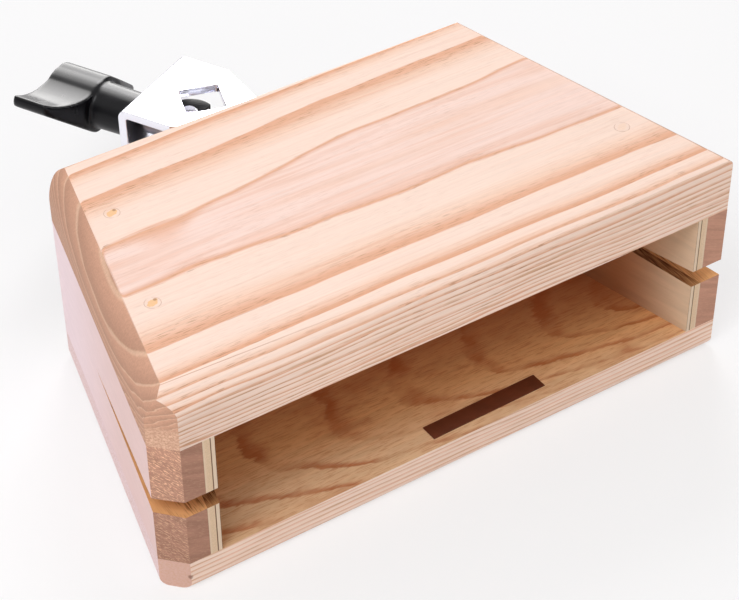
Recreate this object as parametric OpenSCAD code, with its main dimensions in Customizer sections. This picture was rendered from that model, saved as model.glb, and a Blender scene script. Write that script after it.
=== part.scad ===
// Woodblock with a swivelling rod clamp.
// Origin at the middle of the underside. The open side of the cavity faces -Y, the clamp is on the +Y side.

/* [Block] */
// Width of the block at its open front
block_w = 200; // [160:1:260]
// Depth of the block from the front to the back
block_d = 110; // [90:1:150]
// Height of the block
block_h = 74; // [66:1:110]
// How far each back corner stands in from the front corner
back_inset = 25; // [0:1:35]
// Thickness of the top plate
top_t = 19.2; // [12:0.1:24]
// Thickness of the bottom plate
bottom_t = 10.5; // [8:0.1:16]
// Thickness of the left wall, along its width
left_t = 15; // [12:0.1:20]
// Thickness of the right wall, along its width
right_t = 7.6; // [7:0.1:16]
// Thickness of the left liner
left_liner_t = 3.9; // [2:0.1:6]
// Thickness of the right liner
right_liner_t = 3.7; // [2:0.1:6]
// Thickness of the back wall
back_t = 12; // [11:0.5:20]

/* [Edges] */
// How far the rounded left edge of the top reaches in
left_edge_in = 7; // [3:0.5:12]
// How far the rounded left edge of the top reaches down
left_edge_down = 12.4; // [4:0.1:18]
// Radius of the rounded front edge of the top
front_edge_r = 9.5; // [3:0.5:12]
// Turn that lets the front edge's rounding run out towards the right
front_edge_turn = 2.4; // [0:0.1:4]
// Radius of the back edge of the top
back_edge_r = 3.5; // [1:0.5:6]
// Radius of the right edge of the top
right_edge_r = 2.5; // [1:0.5:5]
// Radius of the edges around the underside
bottom_edge_r = 2.5; // [0.5:0.5:4]
// Width of the flat on the left front corner, on the front face
corner_w = 8.2; // [2:0.1:12]
// Depth of the same flat, on the left face
corner_d = 6.9; // [2:0.1:12]

/* [Saw slots] */
// Height of the middle of the slots
slot_z = 32; // [26:0.5:42]
// Height of a slot at the front
slot_h = 6; // [2:0.5:10]
// Length of a slot from the front to its point
slot_len = 66; // [20:1:80]

/* [Brads] */
// Diameter of a brad
brad_d = 1.6; // [1:0.1:2.4]
// Length of a brad in the top plate
top_brad_len = 35; // [30:1:38]
// Length of a brad in the bottom plate
bottom_brad_len = 20; // [16:1:23]
// How far the top brads on the left stand in from the left face
left_brad_in = 13.5; // [9:0.1:15]
// How far the top brad on the right stands in from the right face
right_brad_in = 10.6; // [8:0.1:11]
// Slant of the top brads, out towards the side walls
brad_slant = 14; // [12:1:16]
// Diameter of the filled hole over a brad
plug_d = 4.6; // [3:0.1:6]
// Depth of the filled hole over a brad
plug_depth = 2; // [1:0.1:3]
// Distance of the first left brad from the front
left_brad_y1 = 37.8; // [15:0.1:50]
// Distance of the second left brad from the front
left_brad_y2 = 80.1; // [60:0.1:90]
// Distance of the right brad from the front
right_brad_y = 31.5; // [15:0.1:60]

/* [Floor label] */
// Length of the label
label_l = 42; // [20:1:60]
// Width of the label
label_w = 6; // [3:0.5:12]
// Thickness of the label
label_t = 0.2; // [0.1:0.05:0.5]
// Distance of the label's middle from the front
label_front = 7; // [4:0.5:20]
// Distance of the label's middle to the right of the block's middle
label_x = 15.2; // [-30:0.1:40]

/* [Clamp bracket] */
// How far the bracket's top face stands over the underside of the top plate
bracket_rise = 5.2; // [3:0.1:7]
// Height of the bracket over both legs
bracket_h = 31.4; // [30:0.1:34]
// Width of the steel strip
strip_w = 36; // [30:0.5:44]
// Thickness of the steel strip
strip_t = 3; // [2:0.25:4]
// Outer radius of the strip's bends
bend_r = 3.6; // [3.2:0.1:6]
// Distance from the pivot to the bracket's outer face
reach = 38.1; // [38:0.1:46]
// Turn of the bracket about its pivot, from straight back, in the pose drawn
bracket_turn = 28; // [-60:1:60]
// Distance from the outer face to where the legs start to narrow
taper_from = 20; // [14:0.5:24]
// Radius of the legs' ends round the pivot
leg_end_r = 8; // [7:0.25:9]

/* [Rod hole] */
// Side of the square rod hole
rod_hole = 13.4; // [10:0.1:14]
// Radius of the rod hole's corners
rod_hole_r = 1; // [0.5:0.1:2]
// Distance from the bracket's outer face to the middle of the rod hole
rod_hole_from = 21; // [20.5:0.1:22]
// Diameter of the slimmest rod that it holds
rod_d = 9.5; // [8:0.1:12]

/* [Pivot] */
// Distance from the back of the block to the pivot
pivot_gap = 9.2; // [9:0.1:12]
// Diameter of the pivot bolt
pivot_d = 6; // [5:0.5:6]
// Diameter of the pivot bolt's head
pivot_head_d = 10.5; // [9:0.1:12]
// Height of the pivot bolt's head
pivot_head_h = 2.4; // [2:0.1:4]
// Thickness of a nylon washer
nylon_t = 1; // [0.5:0.1:2]
// Diameter of a nylon washer
nylon_d = 13; // [11:0.5:14]
// Thickness of the steel washer
washer_t = 1.2; // [0.8:0.1:2]
// Diameter of the steel washer
washer_d = 12; // [11:0.5:13]
// Width of the nut across its flats
nut_af = 10; // [9:0.5:11]
// Height of the nut
nut_h = 6; // [5:0.5:8]

/* [Holder base] */
// Thickness of the base's steel
base_t = 3; // [2:0.25:4]
// Width of the base on the back wall
base_w = 34; // [30:1:44]
// Radius of the base's ears round the pivot
ear_r = 8; // [7:0.25:9]
// Width of the ears where they leave the base
ear_root_w = 24; // [18:1:28]
// Distance between the screws across
screw_gap_x = 24; // [22:0.5:26]
// Distance between the screws in height
screw_gap_z = 9; // [8.5:0.5:9.5]
// Diameter of a screw
screw_d = 3.5; // [2.5:0.1:4]
// Length of a screw under its head
screw_len = 13; // [8:0.5:13.5]
// Diameter of a screw's head
screw_head_d = 6.6; // [5:0.1:7]
// Height of a screw's head
screw_head_h = 2.2; // [1.5:0.1:3]

/* [Jaw] */
// Diameter of the jaw
jaw_d = 16.8; // [14:0.1:17.2]
// Height of the jaw
jaw_h = 15.8; // [12:0.1:20]
// Distance from the bracket's outer face to the middle of the jaw
jaw_from = 15.4; // [15:0.1:15.6]
// Diameter of the steel pin in the jaw
jaw_pin_d = 5.6; // [4:0.1:5.6]
// How far the pin stands above the jaw
jaw_pin_proud = 1.5; // [0.5:0.1:2.5]
// Space between the jaw and the slimmest rod, in the pose drawn
jaw_rod_gap = 0.15; // [0.1:0.05:0.4]

/* [Wing bolt] */
// Diameter of the threaded stud
stud_d = 8; // [6:0.5:8]
// Diameter of the stud's neck in the jaw
neck_d = 5; // [4:0.1:5]
// Diameter of the stud's tip in the jaw
tip_d = 6.6; // [6:0.1:7]
// Distance from the bracket to the handle in the pose drawn
handle_gap = 0.6; // [0.6:0.1:2]
// Length of the handle
handle_len = 37.9; // [34:0.1:44]
// Diameter of the handle's boss at the bracket
boss_d = 15.4; // [13:0.1:16]
// Diameter of the handle's boss at its outer end
boss_end_d = 17; // [15:0.1:19]
// Length of the wings along the bolt
wing_len = 18.5; // [12:0.5:20]
// Distance from the bolt's middle to the middle of a wing's round tip
wing_reach = 23.9; // [20:0.1:26]
// Direction of the wings
wing_angle = 26; // [10:1:45]
// Radius of a wing's round tip
wing_tip_r = 3.4; // [2.5:0.1:4]

/* [Hidden] */

$fn = 64;
fit_gap = 0.05;         // radial clearance of a pin, screw or stud in its hole
eps = 0.01;             // what a cutter stands past the face that it cuts
past = 5;               // how far a cutter runs past the block
front_y = -block_d / 2;
back_y = block_d / 2;
side_angle = atan(back_inset / block_d);
side_len = norm([back_inset, block_d]);
wall_z0 = bottom_t;
wall_z1 = block_h - top_t;
edge_steps = 16;        // flats along the left edge's elliptical rounding

pivot_y = back_y + pivot_gap;
bracket_top = wall_z1 + bracket_rise;
bracket_z0 = bracket_top - bracket_h;
bolt_z = bracket_top - bracket_h / 2;
rod_hole_y = reach - rod_hole_from;
rod_corner_y = rod_hole_y - rod_hole / sqrt(2);
rod_y = rod_corner_y + rod_d / sqrt(2);
jaw_y = reach - jaw_from;
jaw_back_y = jaw_y + jaw_d / 2;
jaw_face_y = rod_y + rod_d / 2 + jaw_rod_gap;

ear_top = bracket_top - strip_t - nylon_t;
ear_bottom = bracket_z0 + strip_t + nylon_t;
nut_z = bracket_z0 - washer_t - nut_h;
bolt_end_past = 1;      // how far the pivot bolt stands out of its nut
collar_h = 1.5;         // nylon collar at the foot of the lock nut
socket_d = 4.6;         // hexagon socket in the pivot bolt, across its corners
socket_depth = 1.4;

brad_head_d = 2.2;
brad_head_h = 0.8;
brad_end_gap = 0.3;     // free length of the hole past a brad or a screw
label_tilt = 1;

neck_len = 2.6;
tip_len = 2.8;
stud_jaw_gap = 0.4;     // between the full thread and the back of the jaw
tip_play = 0.1;         // end play of the tip in the jaw
stud_in_handle = 30;
stud_chamfer = 0.8;

wing_root = [2.6, -3];  // middle of the round at a wing's root
wing_root_r = 6;
wing_hub_r = 9;         // round hub that the wings grow from
wing_crest = [2, 8];    // where the top of a wing meets the hub, before it is hollowed
wing_hollow = [8.5, 32];
wing_hollow_r = 24.6;
wing_slant = [[10.5, 0], [17, 2]];  // slanted end of the wings towards the bracket: reach and height
wing_slant_h = 5.5;     // height of the slanted end at the tips
wing_round = 3;
wing_limit_past = 0.6;  // how far the outer limit of the wings stands past their tips
wing_end_in = 0.8;      // how far the wings end short of the boss

// Where the side face is at a distance y from the middle: side is -1 on the left and 1 on the right.
function side_x(side, y) = side * (block_w / 2 - back_inset * (y - front_y) / block_d);
function point_at(angle, radius) = radius * [cos(angle), sin(angle)];

// What is cut off a corner at the origin to round it.
module corner_off(r) {
    difference() {
        translate([-eps, -eps]) square(r + eps);
        translate([r, r]) circle(r);
    }
}

// ---- the block's outer form, which all its boards share ----

module plan_outline() {
    slope = side_x(-1, front_y + corner_d);
    polygon([
        [-block_w / 2 + corner_w, front_y],
        [block_w / 2, front_y],
        [side_x(1, back_y), back_y],
        [side_x(-1, back_y), back_y],
        [slope, front_y + corner_d]
    ]);
}

module left_profile() {
    rounded = [for (i = [0:edge_steps])
        let (t = 90 * i / edge_steps)
        [left_edge_in * (1 - cos(t)), block_h - left_edge_down * (1 - sin(t))]];
    difference() {
        polygon(concat([[0, 0]], rounded, [[block_w, block_h], [block_w, 0]]));
        corner_off(bottom_edge_r);
    }
}

module right_profile() {
    difference() {
        square([block_w, block_h]);
        corner_off(bottom_edge_r);
        translate([0, block_h]) mirror([0, 1]) corner_off(right_edge_r);
    }
}

// Profiles are drawn as inward distance and height, and run along a side face.
module along_side() {
    translate([0, side_len + block_w / 2, 0])
        rotate([90, 0, 0])
            linear_extrude(side_len + block_w) children();
}

module front_back_prism() {
    translate([-block_w / 2, 0, 0])
        rotate([90, 0, 90])
            linear_extrude(block_w)
                difference() {
                    translate([front_y, 0]) square([block_d, block_h]);
                    translate([front_y, 0]) corner_off(bottom_edge_r);
                    translate([back_y, 0]) mirror([1, 0]) corner_off(bottom_edge_r);
                    translate([back_y, block_h]) rotate(180) corner_off(back_edge_r);
                }
}

// The front rounding is full at the left and runs out at the right, because its line is turned outwards.
module front_edge_cutter() {
    translate([-block_w / 2, front_y, block_h])
        rotate([90, 0, 90 - front_edge_turn])
            translate([0, 0, -past])
                linear_extrude(block_w + 2 * past)
                    difference() {
                        translate([-front_edge_r, -front_edge_r]) square([2 * front_edge_r, front_edge_r + past]);
                        translate([front_edge_r, -front_edge_r]) circle(front_edge_r, $fn = 96);
                    }
}

module block_form() {
    difference() {
        intersection() {
            linear_extrude(block_h) plan_outline();
            translate([-block_w / 2, front_y, 0]) rotate(-side_angle) along_side() left_profile();
            translate([block_w / 2, front_y, 0]) rotate(side_angle) mirror([1, 0, 0]) along_side() right_profile();
            front_back_prism();
        }
        front_edge_cutter();
    }
}

// A board is the part of the block's form over a plan drawn as the child, between two heights.
module board(z0, z1) {
    intersection() {
        block_form();
        translate([0, 0, z0]) linear_extrude(z1 - z0) children();
    }
}

// Plan of a strip along a side face, from t0 to t1 inward, from the front to y1.
module side_strip(side, t0, t1, y1) {
    polygon([
        [side_x(side, front_y) - side * t0, front_y],
        [side_x(side, front_y) - side * t1, front_y],
        [side_x(side, y1) - side * t1, y1],
        [side_x(side, y1) - side * t0, y1]
    ]);
}

module slot_cutter() {
    mouth = slot_h / 2 * (1 + 1 / slot_len);
    translate([-block_w / 2 - past, 0, 0])
        rotate([90, 0, 90])
            linear_extrude(block_w + 2 * past)
                polygon([[front_y - 1, slot_z - mouth], [front_y + slot_len, slot_z], [front_y - 1, slot_z + mouth]]);
}

// ---- brads and their filler ----

// The child is drawn with its head up at the top face, over each brad of the top plate.
module at_top_brads() {
    for (y = [front_y + left_brad_y1, front_y + left_brad_y2])
        translate([side_x(-1, y) + left_brad_in, y, block_h]) rotate([0, brad_slant, 0]) children();
    right_y = front_y + right_brad_y;
    translate([side_x(1, right_y) - right_brad_in, right_y, block_h]) rotate([0, -brad_slant, 0]) children();
}

// The same over each brad of the bottom plate, in the middle of the walls' thickness.
module at_bottom_brads() {
    for (y = [front_y + left_brad_y1, front_y + left_brad_y2])
        translate([side_x(-1, y) + left_t / 2, y, 0]) rotate([180, 0, 0]) children();
    right_y = front_y + right_brad_y;
    translate([side_x(1, right_y) - right_t / 2, right_y, 0]) rotate([180, 0, 0]) children();
}

module brad(length) {
    translate([0, 0, -plug_depth - length]) {
        translate([0, 0, brad_d]) cylinder(d = brad_d, h = length - brad_d, $fn = 24);
        cylinder(d1 = brad_d / 4, d2 = brad_d, h = brad_d, $fn = 24);
        translate([0, 0, length - brad_head_h]) cylinder(d = brad_head_d, h = brad_head_h, $fn = 24);
    }
}

module brad_hole(length) {
    translate([0, 0, -plug_depth - length - brad_end_gap])
        cylinder(d = brad_d + 2 * fit_gap, h = length + brad_end_gap + eps, $fn = 24);
    translate([0, 0, -plug_depth - brad_head_h])
        cylinder(d = brad_head_d + 2 * fit_gap, h = brad_head_h + eps, $fn = 24);
    translate([0, 0, -plug_depth]) cylinder(d = plug_d + 2 * fit_gap, h = plug_depth + past, $fn = 48);
}

module plug() {
    translate([0, 0, -plug_depth]) cylinder(d = plug_d, h = plug_depth + past, $fn = 48);
}

// ---- the block's pieces ----

module top_plate() {
    color("#f3d9c3") difference() {
        board(wall_z1, block_h) plan_outline();
        at_top_brads() brad_hole(top_brad_len);
    }
}

module bottom_plate() {
    color("#e2bd9b") difference() {
        board(0, wall_z0) plan_outline();
        at_bottom_brads() brad_hole(bottom_brad_len);
    }
}

module wall(side, thickness) {
    difference() {
        board(wall_z0, wall_z1) side_strip(side, 0, thickness, back_y);
        slot_cutter();
        at_top_brads() brad_hole(top_brad_len);
        at_bottom_brads() brad_hole(bottom_brad_len);
    }
}

module left_wall() {
    color("#ead0d3") wall(-1, left_t);
}

module right_wall() {
    color("#caa893") wall(1, right_t);
}

module liner(side, wall_thickness, thickness) {
    difference() {
        board(wall_z0, wall_z1)
            side_strip(side, wall_thickness, wall_thickness + thickness, back_y - back_t);
        slot_cutter();
    }
}

module left_liner() {
    color("#e8d8bd") liner(-1, left_t, left_liner_t);
}

module right_liner() {
    color("#e8d8bd") liner(1, right_t, right_liner_t);
}

module back_wall() {
    y0 = back_y - back_t;
    color("#7d4a23") difference() {
        board(wall_z0, wall_z1)
            polygon([
                [side_x(-1, y0) + left_t, y0],
                [side_x(1, y0) - right_t, y0],
                [side_x(1, back_y) - right_t, back_y],
                [side_x(-1, back_y) + left_t, back_y]
            ]);
        at_base_screws() screw_hole();
    }
}

module floor_label() {
    color("#8a5a30")
        translate([label_x, front_y + label_front, wall_z0 + label_t / 2])
            rotate(label_tilt) cube([label_l, label_w, label_t], center = true);
}

module top_brads() {
    color("#b9bcc2") at_top_brads() brad(top_brad_len);
}

module top_plugs() {
    color("#e9a862") intersection() {
        block_form();
        at_top_brads() plug();
    }
}

module bottom_brads() {
    color("#b9bcc2") at_bottom_brads() brad(bottom_brad_len);
}

module bottom_plugs() {
    color("#e9a862") intersection() {
        block_form();
        at_bottom_brads() plug();
    }
}

// ---- holder: the child is drawn about the pivot's axis, with +Y out towards the wing bolt ----

module in_holder() {
    translate([0, pivot_y, 0]) rotate(bracket_turn) children();
}

module at_base_screws() {
    for (x = [-1, 1], z = [-1, 1])
        translate([x * screw_gap_x / 2, back_y + base_t, (ear_top + ear_bottom) / 2 + z * screw_gap_z / 2])
            rotate([-90, 0, 0]) children();
}

module screw_hole() {
    translate([0, 0, -screw_len - brad_end_gap])
        cylinder(d = screw_d + 2 * fit_gap, h = screw_len + brad_end_gap + eps, $fn = 32);
}

module base_screws() {
    point_h = 4;
    slot_w = 1;
    color("#c9ccd2") at_base_screws() {
        translate([0, 0, point_h - screw_len]) cylinder(d = screw_d, h = screw_len - point_h, $fn = 32);
        translate([0, 0, -screw_len]) cylinder(d1 = screw_d / 5, d2 = screw_d, h = point_h, $fn = 32);
        difference() {
            rotate_extrude($fn = 48) intersection() {
                translate([0, screw_head_h - screw_head_d]) circle(screw_head_d, $fn = 96);
                square([screw_head_d / 2, screw_head_h]);
            }
            for (a = [0, 90])
                rotate(a) translate([-screw_head_d / 4, -slot_w / 2, screw_head_h / 2])
                    cube([screw_head_d / 2, slot_w, screw_head_h]);
        }
    }
}

// One ear's plan, from the web to the pivot.
module ear_plan() {
    difference() {
        union() {
            circle(ear_r);
            polygon([[-ear_root_w / 2, base_t - pivot_gap], [ear_root_w / 2, base_t - pivot_gap],
                [ear_r, 0], [-ear_r, 0]]);
            translate([-ear_root_w / 2, -pivot_gap]) square([ear_root_w, base_t]);
        }
        circle(pivot_d / 2 + fit_gap);
    }
}

module holder_base() {
    color("#d5d7dc") difference() {
        translate([0, pivot_y, 0]) {
            translate([0, 0, ear_top - base_t]) linear_extrude(base_t) ear_plan();
            translate([0, 0, ear_bottom]) linear_extrude(base_t) ear_plan();
            translate([-base_w / 2, -pivot_gap, ear_bottom]) cube([base_w, base_t, ear_top - ear_bottom]);
        }
        at_base_screws() screw_hole();
    }
}

// Side view of one face of the bent strip, from the legs' ends to the bends.
module bent_profile(y1, z0, z1, r) {
    translate([-leg_end_r, z0]) square([y1 - r + leg_end_r, z1 - z0]);
    translate([-leg_end_r, z0 + r]) square([y1 + leg_end_r, z1 - z0 - 2 * r]);
    translate([y1 - r, z0 + r]) circle(r);
    translate([y1 - r, z1 - r]) circle(r);
}

// Plan of the strip: full width at the bends, narrowing to a round end at the pivot.
module strip_plan() {
    taper_y = reach - taper_from;
    circle(leg_end_r);
    polygon([[-leg_end_r, 0], [leg_end_r, 0], [strip_w / 2, taper_y], [-strip_w / 2, taper_y]]);
    translate([-strip_w / 2, taper_y]) square([strip_w, taper_from]);
}

module rod_hole_plan() {
    inner = rod_hole / 2 - rod_hole_r;
    translate([0, rod_hole_y]) rotate(45) {
        square([rod_hole, 2 * inner], center = true);
        square([2 * inner, rod_hole], center = true);
        for (x = [-1, 1], y = [-1, 1])
            translate([x * inner, y * inner]) circle(rod_hole_r);
    }
}

module clamp_bracket() {
    color("#eceef3") in_holder() difference() {
        intersection() {
            translate([-strip_w / 2, 0, 0]) rotate([90, 0, 90]) linear_extrude(strip_w)
                difference() {
                    bent_profile(reach, bracket_z0, bracket_top, bend_r);
                    translate([-eps, 0])
                        bent_profile(reach - strip_t, bracket_z0 + strip_t, bracket_top - strip_t, bend_r - strip_t);
                    translate([-leg_end_r - past, bracket_z0 + strip_t])
                        square([past + eps, bracket_h - 2 * strip_t]);
                }
            translate([0, 0, bracket_z0]) linear_extrude(bracket_h) strip_plan();
        }
        translate([0, 0, bracket_z0 - eps]) linear_extrude(bracket_h + 2 * eps) rod_hole_plan();
        translate([0, 0, bracket_z0 - eps]) cylinder(d = pivot_d + 2 * fit_gap, h = bracket_h + 2 * eps);
        translate([0, reach - strip_t - 1, bolt_z])
            rotate([-90, 0, 0]) cylinder(d = stud_d + 2 * fit_gap, h = strip_t + 2);
    }
}

module pivot_bolt() {
    z0 = nut_z - bolt_end_past;
    dome_r = (pow(pivot_head_d / 2, 2) + pow(pivot_head_h, 2)) / (2 * pivot_head_h);
    color("#d5d7dc") in_holder() difference() {
        union() {
            translate([0, 0, z0]) cylinder(d = pivot_d, h = bracket_top - z0 + eps);
            translate([0, 0, bracket_top]) rotate_extrude() intersection() {
                translate([0, pivot_head_h - dome_r]) circle(dome_r, $fn = 96);
                square([pivot_head_d / 2, pivot_head_h]);
            }
        }
        translate([0, 0, bracket_top + pivot_head_h - socket_depth]) cylinder(d = socket_d, h = past, $fn = 6);
    }
}

module ring(outer_d, thickness) {
    difference() {
        cylinder(d = outer_d, h = thickness);
        translate([0, 0, -eps]) cylinder(d = pivot_d + 2 * fit_gap, h = thickness + 2 * eps);
    }
}

module nylon_washers() {
    color("#202124") in_holder() for (z = [ear_top, ear_bottom - nylon_t])
        translate([0, 0, z]) ring(nylon_d, nylon_t);
}

module steel_washer() {
    color("#c9ccd2") in_holder() translate([0, 0, bracket_z0 - washer_t]) ring(washer_d, washer_t);
}

module lock_nut() {
    corner_d6 = nut_af / cos(30);
    color("#c9ccd2") in_holder() translate([0, 0, nut_z]) difference() {
        union() {
            translate([0, 0, collar_h]) cylinder(d = corner_d6, h = nut_h - collar_h, $fn = 6);
            cylinder(d1 = nut_af * 0.8, d2 = nut_af * 0.95, h = collar_h + eps);
        }
        translate([0, 0, -eps]) cylinder(d = pivot_d + 2 * fit_gap, h = nut_h + 2 * eps);
    }
}

// ---- jaw and wing bolt ----

module rod_jaw() {
    color("#1d1d20") in_holder() translate([0, 0, bolt_z - jaw_h / 2]) difference() {
        translate([0, jaw_y, 0]) cylinder(d = jaw_d, h = jaw_h, $fn = 96);
        translate([-jaw_d, jaw_y - jaw_d, -eps]) cube([2 * jaw_d, jaw_face_y - jaw_y + jaw_d, jaw_h + 2 * eps]);
        translate([0, jaw_y, -eps]) cylinder(d = jaw_pin_d + 2 * fit_gap, h = jaw_h + 2 * eps);
        translate([0, jaw_back_y, jaw_h / 2]) rotate([90, 0, 0]) {
            translate([0, 0, -past]) cylinder(d = neck_d + 2 * fit_gap, h = past + neck_len - stud_jaw_gap);
            translate([0, 0, neck_len - stud_jaw_gap - tip_play])
                cylinder(d = tip_d + 4 * fit_gap, h = tip_len + 2 * tip_play);
        }
    }
}

module jaw_pin() {
    pin_h = jaw_h + jaw_pin_proud;
    bevel = 0.5;
    color("#dfe1e6") in_holder() translate([0, jaw_y, bolt_z - jaw_h / 2]) {
        cylinder(d = jaw_pin_d, h = pin_h - bevel);
        translate([0, 0, pin_h - bevel - eps]) cylinder(d1 = jaw_pin_d, d2 = jaw_pin_d - 2 * bevel, h = bevel + eps);
    }
}

// The child is drawn along the wing bolt's axis, with +Z out from the bracket's outer face.
module on_bolt() {
    in_holder() translate([0, reach, bolt_z]) rotate([90, 0, 180]) children();
}

module wing_stud() {
    shoulder = jaw_back_y + stud_jaw_gap - reach;
    color("#c9ccd2") on_bolt() {
        translate([0, 0, shoulder]) cylinder(d1 = stud_d - 2 * stud_chamfer, d2 = stud_d, h = stud_chamfer);
        translate([0, 0, shoulder + stud_chamfer])
            cylinder(d = stud_d, h = stud_in_handle - shoulder - stud_chamfer);
        translate([0, 0, shoulder - neck_len - eps]) cylinder(d = neck_d, h = neck_len + 2 * eps);
        translate([0, 0, shoulder - neck_len - tip_len]) cylinder(d = tip_d, h = tip_len);
    }
}

// One wing's outline: a root circle and a tip circle, the straight edge that touches both below, and a hollow
// on top that runs from the tip to the hub.
module wing_outline() {
    tip = point_at(wing_angle, wing_reach);
    span = tip - wing_root;
    along = atan2(span[1], span[0]);
    lean = acos((wing_root_r - wing_tip_r) / norm(span));
    difference() {
        union() {
            translate(wing_root) circle(wing_root_r);
            translate(tip) circle(wing_tip_r);
            polygon([
                wing_crest,
                tip + point_at(along + lean, wing_tip_r),
                tip + point_at(along - lean, wing_tip_r),
                wing_root + point_at(along - lean, wing_root_r)
            ]);
        }
        translate(wing_hollow) circle(wing_hollow_r, $fn = 128);
    }
}

// Half section of the space that the wings keep to: slanted towards the bracket and rounded at the outer end.
module wing_limit() {
    end_r = wing_reach + wing_tip_r + wing_limit_past;
    difference() {
        polygon([
            [0, 0],
            wing_slant[0],
            wing_slant[1],
            [end_r, wing_slant_h],
            [end_r, wing_len],
            [0, wing_len]
        ]);
        translate([end_r, wing_len]) rotate(180) corner_off(wing_round);
    }
}

// Half section of the boss, from the bracket's side to its bevelled outer end.
module boss_section() {
    rim = 1.5;
    polygon([
        [0, 0],
        [boss_d / 2, 0],
        [boss_end_d / 2, handle_len - rim],
        [boss_end_d / 2 - rim, handle_len],
        [0, handle_len]
    ]);
}

module wing_handle() {
    wings_z = handle_len - wing_end_in - wing_len;
    color("#17171a") on_bolt() difference() {
        translate([0, 0, handle_gap]) {
            rotate_extrude() boss_section();
            translate([0, 0, wings_z]) intersection() {
                linear_extrude(wing_len) {
                    circle(wing_hub_r);
                    for (turn = [0, 180])
                        rotate(turn) wing_outline();
                }
                rotate_extrude($fn = 96) wing_limit();
            }
        }
        cylinder(d = stud_d + 2 * fit_gap, h = stud_in_handle + brad_end_gap);
    }
}

top_plate();
bottom_plate();
left_wall();
right_wall();
back_wall();
left_liner();
right_liner();
floor_label();
top_brads();
top_plugs();
bottom_brads();
bottom_plugs();
holder_base();
base_screws();
clamp_bracket();
pivot_bolt();
nylon_washers();
steel_washer();
lock_nut();
rod_jaw();
jaw_pin();
wing_stud();
wing_handle();
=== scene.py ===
"""Looks of a wooden percussion block with a rod clamp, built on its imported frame."""

from functools import reduce
from math import radians

import bmesh
import bpy
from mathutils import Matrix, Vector


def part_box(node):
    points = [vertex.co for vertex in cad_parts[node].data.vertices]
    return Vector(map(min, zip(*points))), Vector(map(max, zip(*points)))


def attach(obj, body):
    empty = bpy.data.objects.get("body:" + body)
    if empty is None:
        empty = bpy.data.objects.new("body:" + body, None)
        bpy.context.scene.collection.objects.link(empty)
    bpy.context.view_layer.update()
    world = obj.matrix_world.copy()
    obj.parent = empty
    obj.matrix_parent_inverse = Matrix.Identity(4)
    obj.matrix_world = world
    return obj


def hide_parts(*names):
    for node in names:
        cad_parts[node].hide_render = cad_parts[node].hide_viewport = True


bl_info = {
    "name": "Woodblock looks",
    "version": (1, 0, 0),
    "blender": (4, 5, 0),
    "location": "View3D > Sidebar > Woodblock",
    "description": "Dresses the packed frame of a woodblock with its woods, chrome and black plastic",
    "category": "Object",
}

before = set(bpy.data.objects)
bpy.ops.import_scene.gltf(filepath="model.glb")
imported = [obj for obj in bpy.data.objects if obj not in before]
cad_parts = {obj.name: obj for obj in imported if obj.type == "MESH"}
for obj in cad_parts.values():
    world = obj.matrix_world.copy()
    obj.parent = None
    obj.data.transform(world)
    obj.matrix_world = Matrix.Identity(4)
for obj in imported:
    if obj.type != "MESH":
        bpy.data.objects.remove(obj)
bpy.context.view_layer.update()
MM = 0.001

# The boards' faces and thicknesses, in millimetres.
FRONT_Y, BACK_Y = (corner.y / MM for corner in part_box("top_plate"))
CEILING_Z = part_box("top_plate")[0].z / MM
FLOOR_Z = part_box("bottom_plate")[1].z / MM
SIDE_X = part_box("bottom_plate")[1].x / MM
SIDE_INSET = 25.0                              # how much nearer the middle each side is at the back
LEFT_WALL, RIGHT_WALL = 15.0, 7.6
LEFT_LINER, RIGHT_LINER = 3.9, 3.7

# x and y of the filled holes, in millimetres.
TOP_PLUGS = [(-77.9, -17.2), (-68.3, 25.1), (82.2, -23.5)]
BOTTOM_PLUGS = [(-83.9, -17.2), (-74.3, 25.1), (89.0, -23.5)]

# The woods, in millimetres.
PITH_Y, PITH_Z = 1.8, 149.0                    # the top board's pith at x = 0
PITH_TURN, PITH_FALL = 0.02, 0.012             # how it turns and falls along x
RING_START = 76.7                              # from the pith to the innermost ring
RINGS_PER_MM = 0.14
WIDE_RINGS = 10.0                              # the rings stay wide for so far, and then crowd
CROWDING = 0.0163                              # extra rings beyond that, by the distance squared
ARCH_Y = -31.0                                 # the middle line of the arches on the cavity's floor
ARCH_GAP = 4.3                                 # from one arch to the next
KNOT_X, KNOT_Z = -92.0, 5.0                    # the small knot in the bottom board's front edge
WOOD_GLOSS = 0.02                              # specular level of the sanded woods

# The light: even from all round, with a bright soft window that only shiny surfaces mirror.
AMBIENT = 0.45
SKY = (1.0, 0.988, 0.975)
WINDOW = (0.45, 0.66, 0.56)                    # its direction
WINDOW_EDGE = (0.68, 0.93)                     # cosines of the angles at which it starts and is full
WINDOW_LIGHT = 9.5
LAMP_AIM = Vector((0.0, 0.0, 0.04))
LAMPS = (                                      # name, place, width in metres, power in watts and tint
    ("key_lamp", (-0.66, -0.28, 1.0), 0.7, 6.9, (0.97, 0.96, 1.0)),
    ("back_lamp", (0.53, 0.83, 0.88), 0.5, 4.9, (0.98, 0.97, 1.0)),
    ("front_lamp", (-0.2, -1.0, 0.45), 0.6, 1.4, (1.0, 0.97, 0.93)),
)
FLOOR_WHITE = "#f7f7f7"
FLOOR_GLOW = 0.55                              # share of plain white in the floor that the camera sees

# The camera, at the photograph's viewing angle.
LENS, SENSOR = 103.545, 36.0                   # millimetres
CAMERA_PLACE = (-0.2711956, -0.4281305, 0.4543658)
CAMERA_TURN = (49.8213, 0.4002, -33.1389)      # degrees about x, y and z


def paint(code):
    """A colour written as on a paint chart, as the shader's own numbers."""
    parts = [int(code[i:i + 2], 16) / 255 for i in (1, 3, 5)]
    return tuple(p / 12.92 if p <= 0.04045 else ((p + 0.055) / 1.055) ** 2.4 for p in parts)


def rgba(colour):
    return (*tuple(colour)[:3], 1.0)


# ---- sizes and colours that a user would change ----


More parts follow.
